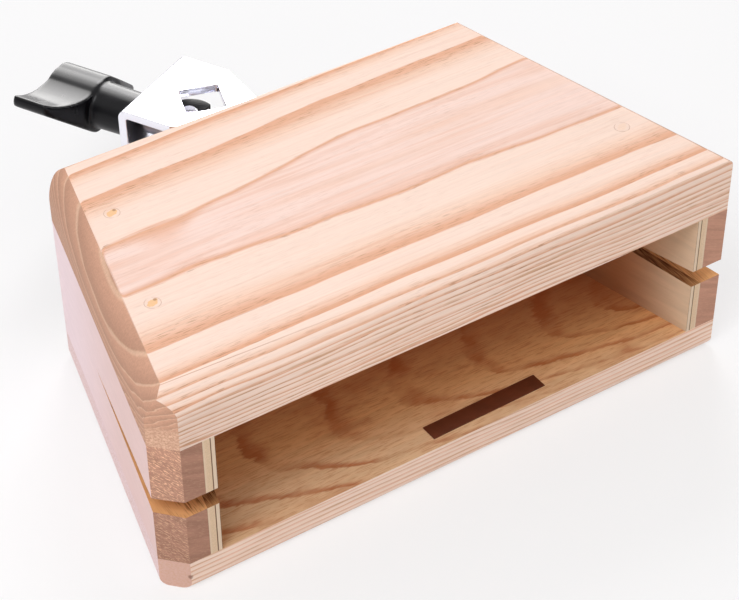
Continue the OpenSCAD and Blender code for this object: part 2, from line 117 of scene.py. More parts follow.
def length(name, description, default, low=0.0, high=0.01):
    return bpy.props.FloatProperty(
        name=name, description=description, default=default, min=low, max=high,
        precision=5, subtype="DISTANCE", unit="LENGTH")


def colour(name, description, code):
    return bpy.props.FloatVectorProperty(
        name=name, description=description, default=paint(code), size=3, min=0.0, max=1.0,
        subtype="COLOR")


def amount(name, description, default, low=0.0, high=1.0):
    return bpy.props.FloatProperty(
        name=name, description=description, default=default, min=low, max=high, subtype="FACTOR")


class WoodblockSizes(bpy.types.PropertyGroup):
    """Sizes of the softened edges and of the stage."""

    wood_edge: length("Wood edge", "Width of the softened edge on the boards' outer corners", 0.0005)
    steel_edge: length("Steel edge", "Width of the softened edge of the bent strip", 0.00035)
    small_edge: length("Small edge", "Width of the softened edge of nuts, washers and screws", 0.00015)
    handle_grain: length("Handle step", "Size of the steps that the handle's rounded form is built from",
                         0.0004, 0.0002)
    pore_depth: length("Pore depth", "Depth of the pores in the woods", 0.00008)
    floor_size: length("Floor", "Width of the studio floor", 12.0, 1.0, 50.0)


class WoodblockColours(bpy.types.PropertyGroup):
    """Colours and finishes of the pieces."""

    cream: colour("Cream wood", "Lightest part of a growth ring on the top board", "#f9dfcf")
    blush: colour("Blush wood", "Middle of a growth ring on the top board", "#f2ceb7")
    rose: colour("Rose wood", "Pinkish wood inside the innermost ring", "#f7dbcf")
    tan: colour("Tan streak", "Broken dark streaks on the front edge", "#c9a07c")
    band: colour("Band", "Darkest part of a growth ring on the top board", "#e4ae8f")
    pore: colour("Pore", "Pores of the top board", "#b07f5f")
    end_grain: colour("End grain", "End grain of the top board", "#cd9f86")
    end_line: colour("End grain line", "Light ring lines in the end grain of the top board", "#e0bba0")
    side: colour("Side", "Outer face of the side walls", "#eed1cc")
    side_pale: colour("Side, towards the back", "Paler wood at the back of the side walls", "#f8e3e6")
    side_end: colour("Side end grain", "End grain of the side walls", "#a97f6c")
    side_pore: colour("Side pores", "Pores in the end grain of the side walls", "#dcb293")
    slot_face: colour("Slot", "Sawn faces of the slots", "#dca570")
    burn: colour("Burn", "Burnt streaks in the slots", "#5f3114")
    floor_gold: colour("Cavity floor", "Golden brown of the cavity's floor at its mouth", "#edc79c")
    # partly painted shade: the floor further into the cavity is drawn darker as well as redder
    floor_deep: colour("Inner cavity floor", "Brown of the cavity's floor further in", "#eeb77e")
    floor_line: colour("Cavity floor line", "Dark figure of the cavity's floor", "#b55c2b")
    # partly painted shade: this darker brown is used for the back board's inside and the deep end of the
    # cavity floor
    back: colour("Back board", "Board behind the cavity", "#b8693f")
    veneer: colour("Veneer", "Face veneer of the plywood liners", "#dfc9b0")
    inner_face: colour("Inner liner face", "Face veneer inside the cavity", "#dcc0a2")
    # painted shade: a darker copy of the inner veneer, used further into the cavity
    inner_face_shaded: colour("Inner liner face, deep", "The same veneer further in", "#b97c54")
    core: colour("Plywood core", "Core of the plywood liners", "#dfc3a4")
    glue: colour("Glue line", "Glue line of the plywood liners", "#6b4a38")
    label: colour("Label", "Paper label on the cavity's floor", "#5f2c14")
    filler: colour("Filler", "Wood filler over the brads", "#f3c48d")
    chrome: colour("Chrome", "Chromed steel of the clamp", "#f8f8ff")
    zinc: colour("Zinc", "Zinc plated fasteners", "#b9bcc4")
    black: colour("Black plastic", "Moulded plastic of the wing handle", "#0d0d10")
    nylon: colour("Black nylon", "Jaw and washers", "#161619")
    chrome_roughness: amount("Chrome roughness", "Roughness of the chromed steel", 0.12)
    black_roughness: amount("Plastic roughness", "Roughness of the black plastic", 0.26)


def sizes():
    return bpy.context.scene.woodblock_sizes


def colours():
    return bpy.context.scene.woodblock_colours


# ---- materials ----


def arithmetic(operation, reflected=False):
    """One of Value's operators on two numbers, which adds a Math node."""
    def add_node(self, other):
        return self.look.math(operation, *((other, self) if reflected else (self, other)))
    return add_node


class Value:
    """A number in a material. Python's operators on it add Math nodes."""

    def __init__(self, look, socket):
        self.look, self.socket = look, socket

    __add__, __radd__ = arithmetic("ADD"), arithmetic("ADD", reflected=True)
    __sub__, __rsub__ = arithmetic("SUBTRACT"), arithmetic("SUBTRACT", reflected=True)
    __mul__, __rmul__ = arithmetic("MULTIPLY"), arithmetic("MULTIPLY", reflected=True)
    __truediv__ = arithmetic("DIVIDE")
    least, most = arithmetic("MINIMUM"), arithmetic("MAXIMUM")

    def __neg__(self):
        return self * -1.0

    def __abs__(self):
        return self.look.math("ABSOLUTE", self)

    def fract(self):
        return self.look.math("FRACT", self)

    def floor(self):
        return self.look.math("FLOOR", self)

    def root(self):
        return self.look.math("SQRT", self)

    def step(self, low, high, first=0.0, last=1.0):
        """Goes smoothly from first at low to last at high. low may be the larger."""
        if low > high:
            low, high, first, last = high, low, last, first
        made = self.look.node(
            "ShaderNodeMapRange", {"interpolation_type": "SMOOTHSTEP"},
            {"Value": self, "From Min": low, "From Max": high, "To Min": first, "To Max": last})
        return Value(self.look, made.outputs["Result"])


def distance(*offsets):
    """How far away a point is, from its offset along each direction."""
    squares = [offset * offset for offset in offsets]
    return sum(squares[1:], squares[0]).root()


class Look:
    """One material or world. Its shader takes constants on its own sockets and expressions as links."""

    def __init__(self, name, kind=None):
        self.owner = (bpy.data.materials if kind is None else kind).new(name)
        self.owner.use_nodes = True
        self.tree = self.owner.node_tree
        self.tree.nodes.clear()
        self._place = None

    def node(self, kind, settings=None, sockets=None):
        """Any node, from its type, its settings and the values or links of its sockets."""
        made = self.tree.nodes.new(kind)
        for key, value in (settings or {}).items():
            if key == "stops":
                self._stops(made, value)
            else:
                setattr(made, key, value)
        for key, value in (sockets or {}).items():
            self.plug(made.inputs[key], value)
        return made

    def _stops(self, ramp, stops):
        elements = ramp.color_ramp.elements
        while len(elements) < len(stops):
            elements.new(0.5)
        for element, (place, shade) in zip(elements, stops):
            element.position = place
            element.color = rgba(shade)

    def plug(self, socket, value):
        if isinstance(value, Value):
            self.tree.links.new(value.socket, socket)
        elif isinstance(value, bpy.types.NodeSocket):
            self.tree.links.new(value, socket)
        elif socket.type == "RGBA":
            socket.default_value = rgba(value)
        else:
            socket.default_value = value

    def math(self, operation, *values):
        made = self.node("ShaderNodeMath", {"operation": operation}, dict(enumerate(values)))
        return Value(self, made.outputs[0])

    def place(self):
        """x, y and z in the object's own coordinates, in millimetres."""
        if self._place is None:
            coordinate = self.node("ShaderNodeTexCoord")
            scaled = self.node("ShaderNodeVectorMath", {"operation": "SCALE"},
                               {0: coordinate.outputs["Object"], "Scale": 1 / MM})
            parts = self.node("ShaderNodeSeparateXYZ", None, {0: scaled.outputs[0]})
            facing = self.node("ShaderNodeSeparateXYZ", None, {0: coordinate.outputs["Normal"]})
            self._place = [Value(self, parts.outputs[i]) for i in range(3)]
            self._facing = [Value(self, facing.outputs[i]) for i in range(3)]
        return self._place

    def facing(self):
        """The surface's direction, as x, y and z."""
        self.place()
        return self._facing

    def noise(self, x, y, z, detail=2.0, roughness=0.5):
        """Noise from 0 to 1 over three expressions, each already divided by its own length."""
        vector = self.node("ShaderNodeCombineXYZ", None, {0: x, 1: y, 2: z}).outputs[0]
        made = self.node("ShaderNodeTexNoise", None,
                         {"Vector": vector, "Scale": 1.0, "Detail": detail, "Roughness": roughness})
        return Value(self, made.outputs["Fac"])

    def grain(self, lengths, detail=2.0, roughness=0.5):
        """Noise from 0 to 1. lengths are about the lengths of its patches in x, y and z, in millimetres."""
        scaled = [at / length for at, length in zip(self.place(), lengths)]
        return self.noise(*scaled, detail, roughness)

    def wander(self, lengths, detail=1.0):
        """The same noise from -0.5 to 0.5, to bend a pattern with."""
        return self.grain(lengths, detail) - 0.5

    def chance(self, value):
        """A fixed chance from 0 to 1 for each whole number."""
        made = self.node("ShaderNodeTexWhiteNoise", {"noise_dimensions": "1D"}, {"W": value})
        return Value(self, made.outputs["Value"])

    def ramp(self, value, *stops):
        made = self.node("ShaderNodeValToRGB", {"stops": stops}, {"Fac": value})
        return made.outputs["Color"]

    def mix(self, share, first, second):
        made = self.node("ShaderNodeMix", {"data_type": "RGBA"}, {0: share, 6: first, 7: second})
        return made.outputs[2]

    def tone(self, colour, value):
        """A colour made lighter or darker by a value round 1."""
        made = self.node("ShaderNodeVectorMath", {"operation": "SCALE"}, {0: colour, "Scale": value})
        return made.outputs[0]

    def bump(self, height, depth, strength):
        made = self.node("ShaderNodeBump", None,
                         {"Height": height, "Distance": depth, "Strength": strength})
        return made.outputs["Normal"]

    def finish(self, **sockets):
        """The shader itself. A name's underscores stand for the spaces in the socket's name."""
        named = {key.replace("_", " ").title().replace("Ior", "IOR"): value
                 for key, value in sockets.items()}
        shader = self.node("ShaderNodeBsdfPrincipled", None, named)
        self.node("ShaderNodeOutputMaterial", None, {"Surface": shader.outputs[0]})
        return self.owner

    def wood(self, colour, roughness, height, strength=0.5):
        """The shader of a sanded wood, with its fibres and pores raised or sunk by height."""
        return self.finish(base_color=colour, roughness=roughness, specular_ior_level=WOOD_GLOSS,
                           normal=self.bump(height, sizes().pore_depth, strength))


def ring_phase(look):
    """How many growth rings lie inside a point of the top board. Its pith runs above the board, along X."""
    x, y, z = look.place()
    drift, ripple = look.wander((85, 34, 34)), look.wander((24, 9, 9))
    uneven = look.wander((70, 30, 3.0))
    loose = look.wander((40, 40, 1.7)) * z.step(72.0, 67.0)
    bent = drift * 2.4 + ripple * 0.5 + uneven * 1.5 + loose * 1.6
    reach = distance(y - PITH_Y - PITH_TURN * x, PITH_Z - PITH_FALL * x - z) + bent - RING_START
    outer = (reach - WIDE_RINGS).most(0.0)
    return RINGS_PER_MM * reach + CROWDING * outer * outer


def board_face(look, phase, inner):
    """Along the top board's grain: each ring goes from cream to its band, and some rings are weak."""
    c = colours()
    x, _, z = look.place()
    part, ring = phase.fract(), look.chance(phase.floor())
    face = look.ramp(part, (0.0, c.cream), (0.38, c.cream), (0.66, c.blush), (0.86, c.band),
                     (0.975, c.band), (1.0, c.cream))
    weak = look.mix(part.step(0.2, 0.9), c.cream, c.blush)
    face = look.mix(ring.step(0.3, 1.0, 0.0, 0.3), face, weak)
    face = look.mix(inner * look.grain((60, 4, 14)).step(0.3, 0.6, 0.55, 1.0), face, c.rose)
    streaks = look.grain((45, 1.1, 0.9), 3.0, 0.65).step(0.5, 0.66)
    face = look.mix(streaks * part.step(0.25, 0.85, 0.12, 0.55) * (1.0 - inner * 0.6), face, c.band)
    rim = z.step(70.5, 66.0) * look.grain((14, 0.8, 0.7), 2.0, 0.7).step(0.5, 0.62)
    face = look.mix(rim * part.step(0.3, 0.8, 0.1, 0.6), face, c.tan)
    return look.tone(face, 1.0 - z.step(71.0, 65.0) * x.step(-40.0, -95.0, 0.0, 0.15))


def board_end(look, phase):
    """Across the top board's grain: light lines between the rings, and a plain flat at the corner."""
    c = colours()
    z, facing_front = look.place()[2], -look.facing()[1]
    part = phase.fract()
    line = (part.step(0.9, 0.97) + part.step(0.1, 0.0)).least(1.0)
    speck = look.grain((2, 0.5, 0.5), 2.0, 0.7)
    end = look.tone(c.end_grain, part.step(0.0, 0.95, 1.04, 0.86))
    end = look.mix(line * 0.75, end, c.end_line)
    flat = look.mix(speck.step(0.35, 0.7), c.end_grain, c.end_line)
    end = look.mix(facing_front.step(0.35, 0.6) * z.step(63.0, 60.0), end, flat)
    return look.tone(end, speck.step(0.3, 0.7, 0.93, 1.06))


def top_grain(look):
    """Colour, fibres and pores of the pale playing board."""
    phase = ring_phase(look)
    inner = phase.step(-0.02, -0.08)
    fibre = look.grain((26, 0.7, 0.7), 3.0, 0.6)
    dashes = look.grain((5, 0.27, 0.27), 1.0).step(0.57, 0.67)
    patches = look.grain((30, 10, 10), 1.0).step(0.38, 0.62, 0.4, 1.0)
    pores = dashes * phase.fract().step(0.45, 0.85, 0.2, 1.0) * (1.0 - inner * 0.7) * patches
    face = look.tone(board_face(look, phase, inner), fibre.step(0.2, 0.8, 0.955, 1.03))
    face = look.mix(pores * 0.7, face, colours().pore)
    cut_across = abs(look.facing()[0]).step(0.16, 0.3)
    return look.mix(cut_across, face, board_end(look, phase)), fibre, pores


def top_wood():
    """The pale playing board."""
    look = Look("top_wood")
    base, fibre, pores = top_grain(look)
    return look.wood(base, fibre.step(0.2, 0.8, 0.44, 0.56), fibre * 0.5 + (1.0 - pores) * 0.5)


def board_edge(look, speck):
    """The bottom board's edges: uneven bands with broken streaks, plain end grain and a small knot."""
    c = colours()
    x, y, z = look.place()
    nx, ny, _ = look.facing()
    drift, uneven = look.wander((70, 20, 20), 1.5), look.grain((60, 20, 2.5), 1.0)
    bands = (z / 1.75 + x / 160 + drift * 1.8 + uneven * 0.8).fract()
    edge = look.ramp(bands, (0.0, c.cream), (0.45, c.cream), (0.7, c.blush), (0.85, c.band),
                     (1.0, c.cream))
    broken = look.grain((16, 0.7, 0.5), 2.0, 0.7).step(0.5, 0.64)
    edge = look.mix(broken * bands.step(0.3, 0.8, 0.15, 0.6), edge, c.tan)
    edge = look.tone(edge, look.grain((20, 0.6, 0.6), 3.0, 0.6).step(0.2, 0.8, 0.93, 1.0))
    plain = (-ny).step(0.3, 0.6, 1.0, 0.25)
    end = look.mix(speck.step(0.3, 0.7, 0.5, 1.0) * plain, c.end_grain, c.side_pale)
    edge = look.mix(abs(nx).step(0.3, 0.5), edge, end)
    knot = distance(x - KNOT_X, y - FRONT_Y, z - KNOT_Z)
    return look.mix(knot.step(1.1, 0.4) * 0.6, edge, c.burn)


def cavity_floor(look, dashes):
    """The cavity's floor: golden, with nested arches of dark figure, and redder further in, where painted
    shade also darkens it towards the back board's brown.
    """
    c = colours()
    x, y, _ = look.place()
    aside = y - ARCH_Y
    aside = aside.least(0.0) + aside.most(0.0) * 0.35
    bent = look.wander((40, 26, 26), 2.0) * 4.0 + (look.grain((5, 1.6, 1), 2.0, 0.6) - 0.5) * 1.1
    part = ((distance(aside, 25.0 - 0.17 * x) + bent) / ARCH_GAP).fract()
    line = part.step(0.62, 0.9) * part.step(1.0, 0.93) * 0.72
    inward = y + 0.12 * x
    # Further in, the floor turns redder and darker: partly the wood's own red-brown, partly painted shade.
    gold = look.mix(inward.step(-54.0, -30.0), c.floor_gold, c.floor_deep)
    gold = look.mix(line * look.grain((16, 12, 1)).step(0.35, 0.6, 0.25, 1.0), gold, c.floor_line)
    gold = look.mix(look.grain((22, 15, 1), 3.0, 0.6).step(0.45, 0.7) * 0.35, gold, c.floor_line)
    gold = look.tone(gold, look.grain((30, 2.5, 1), 3.0, 0.6).step(0.2, 0.8, 0.9, 1.06))
    gold = look.mix(dashes * 0.4, gold, c.floor_line)
    # Painted shade: the deep end of the cavity floor is blended into the back board's darker brown.
    return look.mix(inward.step(-36.0, 0.0) * 0.75, gold, c.back)


def bottom_wood():
    """The bottom board, whose upper face is the cavity's floor."""
    look = Look("bottom_wood")
    z, facing_up = look.place()[2], look.facing()[2]
    speck = look.grain((1.5, 0.5, 0.5), 2.0, 0.7)
    dashes = look.grain((4.5, 0.3, 1)).step(0.5, 0.66)
    on_floor = facing_up.step(0.6, 0.8) * z.step(FLOOR_Z - 0.3, FLOOR_Z - 0.1)
    base = look.mix(on_floor, board_edge(look, speck), cavity_floor(look, dashes))
    return look.wood(base, 0.55, dashes * -0.6 + speck * 0.4)


def wall_end(look, across, grain, corner):
    """The walls' end grain: brown, with pale pores that are open on the left wall's corner flat."""
    c = colours()
    x, y, z = look.place()
    rings = look.noise(x / 12, y / 20, across / 1.6)
    end = look.tone(c.side_end, rings.step(0.3, 0.7, 0.9, 1.1) * x.step(-60.0, 60.0, 1.0, 1.3))
    pale = 0.18 + corner * z.step(26.0, 38.0, 0.5, 0.8)
    end = look.mix(grain.step(0.5, 0.62) * pale, end, c.side_pore)
    end = look.tone(end, 1.0 + corner * z.step(30.0, 40.0, 0.0, 0.22))
    return look.mix(grain.step(0.36, 0.3) * corner * z.step(26.0, 38.0, 0.6, 0.25), end, c.burn)


def wall_wood():
    """The side walls: plain pale faces, speckled end grain at the front, and burnt sawn slots."""
    look, c = Look("wall_wood"), colours()
    x, y, z = look.place()
    nx, ny, nz = look.facing()
    level = x * 0.77 - y * 0.64
    along, across = level * 0.87 - z * 0.5, level * 0.5 + z * 0.87
    grain = look.noise(along / 1.5, across / 0.45, 0.0, 3.0, 0.7)
    fibre = look.grain((1.5, 30, 1.5), 3.0, 0.6)
    corner = abs(nx).step(0.15, 0.4)
    side = look.mix(y.step(-25.0, 50.0), c.side, c.side_pale)
    side = look.tone(side, fibre.step(0.2, 0.8, 0.97, 1.02))
    base = look.mix((-ny).step(0.45, 0.6), side, wall_end(look, across, grain, corner))
    streaks = look.grain((0.55, 9, 14), 2.0, 0.7).step(0.46, 0.62)
    patches = look.grain((9, 9, 30), 1.0).step(0.35, 0.65, 0.2, 0.75)
    inner = (SIDE_X - abs(x)).step(3.0, 14.0, 0.25, 1.0)
    sawn = look.mix(streaks * patches * inner, c.slot_face, c.burn)
    base = look.mix(abs(nz).step(0.55, 0.8), base, sawn)
    return look.wood(base, 0.55, grain * corner * 2.0 + fibre * 0.5)


def plywood(side, wall_thickness, thickness):
    """A liner: core, dark glue line and face veneer, counted inwards from the wall. Further into the cavity
    the face veneer has painted shade.
    """
    look, c = Look("plywood_" + side), colours()
    x, y, _ = look.place()
    facing_front, facing_up = -look.facing()[1], look.facing()[2]
    slant = SIDE_INSET / (BACK_Y - FRONT_Y)
    share = (SIDE_X - (y - FRONT_Y) * slant - abs(x) - wall_thickness) / thickness
    fibre = look.grain((0.5, 8, 0.5))
    core = look.tone(c.core, fibre.step(0.2, 0.8, 0.9, 1.05))
    base = look.mix(share.step(0.1, 0.2, 0.6, 0.0), core, c.veneer)
    base = look.mix(share.step(0.62, 0.66), base, c.veneer)
    base = look.mix(share.step(0.58, 0.62) * share.step(0.7, 0.66), base, c.glue)
    cloud = look.grain((20, 30, 3), 3.0, 0.6)
    # Painted shade: further into the cavity the inner veneer turns to its darker copy and dims to 0.6 of
    # its colour.
    face = look.mix(y.step(-54.0, -25.0), c.inner_face, c.inner_face_shaded)
    face = look.tone(face, cloud.step(0.3, 0.7, 0.92, 1.05) * y.step(-40.0, 10.0, 1.0, 0.6))
    # Painted shadow: a dark line in the glue's colour along the inner veneer's front edge, at the cavity's
    # mouth.
    face = look.mix(facing_front.step(0.5, 0.8), face, c.glue)
    base = look.mix(share.step(0.96, 0.98), base, face)
    streaks = look.grain((0.4, 9, 14), 2.0, 0.7)
    scorched = streaks.step(0.3, 0.6, 0.45, 1.0) * y.step(-56.0, -50.0, 0.55, 0.95)
    sawn = look.mix(scorched, c.slot_face, c.burn)
    base = look.mix(abs(facing_up).step(0.55, 0.8), base, sawn)
    return look.wood(base, 0.6, fibre, 0.3)


def back_wood():
    """The board behind the cavity, its grain along X: brown inside, partly painted shade of the deep
    cavity, and pale on the outside.
    """
    look, c = Look("back_wood"), colours()
    z, facing_back = look.place()[2], look.facing()[1]
    bands = (z / 9 + look.grain((90, 16, 16), 1.0) * 2.6).fract()
    fibre = look.grain((24, 0.6, 0.6), 3.0, 0.6)
    dashes = look.grain((4, 0.3, 0.3), 1.0).step(0.58, 0.7)
    # Partly painted shade: the inside, deep in the cavity, is drawn a darker brown than the outside.
    inside = look.mix(bands.step(0.4, 0.95) * bands.step(1.0, 0.96), c.back, c.floor_line)
    inside = look.tone(inside, fibre.step(0.2, 0.8, 0.86, 1.1))
    inside = look.mix(dashes * 0.4, inside, c.burn)
    outside = look.mix(bands.step(0.4, 0.95), c.end_line, c.end_grain)
    outside = look.tone(outside, fibre.step(0.2, 0.8, 0.86, 1.04))
    outside = look.mix(dashes * 0.4, outside, c.pore)
    base = look.mix(facing_back.step(0.4, 0.6), inside, outside)
    return look.wood(base, 0.58, fibre - dashes * 0.6)


def label_paper():
    """Brown paper, a little worn."""
    look, c = Look("label_paper"), colours()
    cloud = look.grain((6, 6, 6), 4.0, 0.6)
    fibre = look.grain((0.6, 0.25, 0.25))
    base = look.tone(c.label, cloud.step(0.3, 0.7, 0.88, 1.12) * fibre.step(0.2, 0.8, 0.95, 1.05))
    return look.finish(base_color=base, roughness=0.5, specular_ior_level=0.4,
                       normal=look.bump(fibre, 0.00003, 0.4))


def filler(name, places, on_top):
    """Sanded filler: an uneven patch in each hole, with the board's own colour round it.
    The patches on the left have a dark pinhole, and the one on the right is hardly seen."""
    look, c = Look(name), colours()
    x, y, _ = look.place()
    ground = top_grain(look)[0] if on_top else c.cream
    rough = look.grain((1.1, 1.1, 1), 2.0, 0.6)
    patches, pinholes = [], []
    for plug_x, plug_y in places:
        dx, dy = x - plug_x, y - plug_y
        along, aside = dx * 0.9 + dy * 0.44, dy * 0.9 - dx * 0.44
        spot = distance(along / 1.9, aside / 1.15) + (rough - 0.5) * 0.8
        on_left = plug_x < 0
        patches.append(spot.step(1.15, 0.95) * (0.85 if on_left else 0.15))
        if on_left:
            pinholes.append(distance(along - 1.5, aside - 0.3).step(0.75, 0.35))
    base = look.mix(reduce(Value.most, patches), ground, c.filler)
    base = look.mix(reduce(Value.most, pinholes) * 0.7, base, c.pore)
    return look.finish(base_color=base, roughness=0.6, specular_ior_level=WOOD_GLOSS,
                       normal=look.bump(rough, 0.00005, 0.4))


def chrome():
    """Bright chrome, slightly waved by the strip's rolling and smudged here and there."""
    look, c = Look("chrome"), colours()
    cloud = look.grain((9, 9, 9), 3.0, 0.6)
    grit = look.grain((0.5, 0.5, 0.5))
    return look.finish(base_color=look.tone(c.chrome, cloud.step(0.2, 0.8, 0.97, 1.0)), metallic=1.0,
                       roughness=cloud.step(0.3, 0.8, c.chrome_roughness, c.chrome_roughness + 0.08),
                       normal=look.bump(grit, 0.00001, 0.15))


def zinc():
    """Zinc plate with fine turning marks."""
    look, c = Look("zinc"), colours()
    cloud = look.grain((3, 3, 3), 3.0, 0.6)
    fine = look.grain((0.3, 0.3, 0.12))
    return look.finish(base_color=look.tone(c.zinc, cloud.step(0.2, 0.8, 0.88, 1.06)), metallic=1.0,
                       roughness=fine.step(0.2, 0.8, 0.28, 0.42), normal=look.bump(fine, 0.00002, 0.3))


def black_plastic():
    """Glossy moulded plastic with the faint unevenness of its mould."""
    look, c = Look("black_plastic"), colours()
    wave = look.grain((7, 7, 7))
    grit = look.grain((0.6, 0.6, 0.6), 3.0)
    return look.finish(base_color=look.tone(c.black, wave.step(0.2, 0.8, 0.85, 1.15)),
                       roughness=wave.step(0.2, 0.8, c.black_roughness, c.black_roughness + 0.08),
                       coat_weight=0.1, coat_roughness=0.15, specular_ior_level=0.15,
                       normal=look.bump(grit, 0.00001, 0.2))


def black_nylon():
    """Satin nylon."""
    look, c = Look("black_nylon"), colours()
    grit = look.grain((0.4, 0.4, 0.4), 3.0)
    return look.finish(base_color=look.tone(c.nylon, grit.step(0.2, 0.8, 0.85, 1.15)),
                       roughness=grit.step(0.2, 0.8, 0.34, 0.44), specular_ior_level=0.12,
                       normal=look.bump(grit, 0.00002, 0.2))


MADE = {}


def look_of(maker, *settings):
    """Each material is made once."""
    key = (maker.__name__, str(settings))
    if key not in MADE:
        MADE[key] = maker(*settings)
    return MADE[key]


# ---- pieces ----

SHARP = radians(28)                            # an edge that turns further is softened
CREASE = radians(32)                           # an edge that turns further is shaded as a crease


def open_copy(node):
    """A merged copy of a frame node's mesh, its flat triangles joined."""
    bm = bmesh.new()
    bm.from_mesh(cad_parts[node].data)
    bmesh.ops.remove_doubles(bm, verts=bm.verts, dist=2e-6)
    bmesh.ops.dissolve_limit(bm, angle_limit=radians(0.3), use_dissolve_boundaries=False,
                             verts=bm.verts, edges=bm.edges, delimit=set())
    return bm


def sharp_edges(bm):
    return [e for e in bm.edges if len(e.link_faces) == 2 and e.calc_face_angle(0) > SHARP]


def soften(bm, edges, width, segments=2):
    if edges and width > 0:
        bmesh.ops.bevel(bm, geom=edges, offset=width, offset_type="OFFSET", segments=segments,
                        profile=0.5, affect="EDGES", clamp_overlap=True, material=-1)


def close_piece(bm, name, material, body, slot, *nodes):
    """Makes the object: smooth faces with its sharp edges kept, riding on its body."""
    for face in bm.faces:
        face.smooth = True
    for edge in bm.edges:
        edge.smooth = len(edge.link_faces) == 2 and edge.calc_face_angle(0) < CREASE
    mesh = bpy.data.meshes.new(name)
    bm.to_mesh(mesh)
    bm.free()
    for old in ("custom_normal", "UVMap"):
        layer = mesh.attributes.get(old)
        if layer:
            mesh.attributes.remove(layer)
    mesh.materials.clear()
    mesh.materials.append(material)
    piece = bpy.data.objects.new(name, mesh)
    bpy.context.scene.collection.objects.link(piece)
    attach(piece, body)
    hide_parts(*nodes)
    return piece


def outer_corner(edge):
    """Whether an edge is on the outside of the block, and not in a joint between two boards."""
    heights = [vert.co.z / MM for vert in edge.verts]
    level = abs(heights[0] - heights[1]) < 0.01
    return not (level and any(abs(z - joint) < 0.02 for z in heights for joint in (FLOOR_Z, CEILING_Z)))


def dressed(node, name, material, body, slot, width, segments=2, keep=None):
    bm = open_copy(node)
    edges = [e for e in sharp_edges(bm) if keep is None or keep(e)]
    soften(bm, edges, width, segments)
    return close_piece(bm, name, material, body, slot, node)


def finish_slot(material, node):
    """Gives a frame node that stays its material."""
    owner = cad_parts[node]
    owner.data.materials.clear()
    owner.data.materials.append(material)


class WOODBLOCK_OT_stage(bpy.types.Operator):
    """Makes the camera, the lamps, the pale world and the floor"""

    bl_idname = "woodblock.stage"
    bl_label = "Stage"

    def execute(self, context):
        scene = context.scene
        scene.view_settings.view_transform = "Standard"
        self.camera(scene)
        for lamp in LAMPS:
            self.lamp(scene, *lamp)
        self.world(scene)
        self.floor(scene)
        return {"FINISHED"}

    def camera(self, scene):
        data = bpy.data.cameras.new("camera")
        data.lens, data.sensor_width = LENS, SENSOR
        data.clip_start, data.clip_end = 0.01, 50.0
        camera = bpy.data.objects.new("camera", data)
        camera.location = CAMERA_PLACE
        camera.rotation_euler = [radians(angle) for angle in CAMERA_TURN]
        scene.collection.objects.link(camera)
        scene.camera = camera

    def lamp(self, scene, name, place, size, power, tint):
        data = bpy.data.lights.new(name, "AREA")
        data.shape, data.size, data.energy, data.color = "DISK", size, power, tint
        lamp = bpy.data.objects.new(name, data)
        lamp.location = place
        lamp.rotation_mode = "QUATERNION"
        lamp.rotation_quaternion = (Vector(place) - LAMP_AIM).to_track_quat("Z", "Y")
        scene.collection.objects.link(lamp)

    def world(self, scene):
        look = Look("studio", bpy.data.worlds)
        scene.world = look.owner
        path = look.node("ShaderNodeLightPath")
        direction = look.node("ShaderNodeTexCoord").outputs["Generated"]
        height = Value(look, look.node("ShaderNodeSeparateXYZ", None, {0: direction}).outputs[2])
        towards = look.node("ShaderNodeVectorMath", {"operation": "DOT_PRODUCT"},
                            {0: direction, 1: Vector(WINDOW).normalized()})
        window = Value(look, towards.outputs["Value"]).step(*WINDOW_EDGE)
        unscattered = look.math("LESS_THAN", path.outputs["Diffuse Depth"], 0.5)
        mirrored = height.step(0.05, 0.6, 0.4, 1.0) + window * unscattered * WINDOW_LIGHT
        glossy = Value(look, path.outputs["Is Glossy Ray"])
        camera = Value(look, path.outputs["Is Camera Ray"])
        strength = AMBIENT + glossy * (mirrored - AMBIENT) + camera * (1.0 - AMBIENT)
        sky = look.node("ShaderNodeBackground", None, {"Color": SKY, "Strength": strength})
        look.node("ShaderNodeOutputWorld", None, {"Surface": sky.outputs[0]})

    def floor(self, scene):
        look = Look("studio_floor")
        path = look.node("ShaderNodeLightPath")
        cloth = look.node("ShaderNodeBsdfPrincipled", None,
                          {"Base Color": paint(FLOOR_WHITE), "Roughness": 0.9, "Specular IOR Level": 0.0})
        glow = look.node("ShaderNodeEmission", None, {"Color": (1.0, 1.0, 1.0), "Strength": 1.0})
        seen = look.math("MULTIPLY", path.outputs["Is Camera Ray"], FLOOR_GLOW)
        mixed = look.node("ShaderNodeMixShader", None,
                          {0: seen, 1: cloth.outputs[0], 2: glow.outputs[0]})
        look.node("ShaderNodeOutputMaterial", None, {"Surface": mixed.outputs[0]})
        bm = bmesh.new()
        bmesh.ops.create_grid(bm, x_segments=1, y_segments=1, size=sizes().floor_size / 2)
        mesh = bpy.data.meshes.new("studio_floor")
        bm.to_mesh(mesh)
        bm.free()
        mesh.materials.append(look.owner)
        floor = bpy.data.objects.new("studio_floor", mesh)
        scene.collection.objects.link(floor)


class WOODBLOCK_OT_boards(bpy.types.Operator):
    """Dresses the top and bottom boards"""

    bl_idname = "woodblock.boards"
    bl_label = "Top and bottom boards"

    def execute(self, context):
        edge = sizes().wood_edge
        dressed("top_plate", "top_board", look_of(top_wood), "block", "top_wood", edge, 3, outer_corner)
        dressed("bottom_plate", "bottom_board", look_of(bottom_wood), "block", "bottom_wood", edge, 3,
                outer_corner)
        return {"FINISHED"}


class WOODBLOCK_OT_walls(bpy.types.Operator):
    """Dresses the side walls and the back wall"""

    bl_idname = "woodblock.walls"
    bl_label = "Walls"

    def execute(self, context):
        for side in ("left", "right"):
            dressed(side + "_wall", side + "_side", look_of(wall_wood), "block", "wall_wood", 0.0)
        dressed("back_wall", "back_board", look_of(back_wood), "block", "back_wood", 0.0)
        return {"FINISHED"}


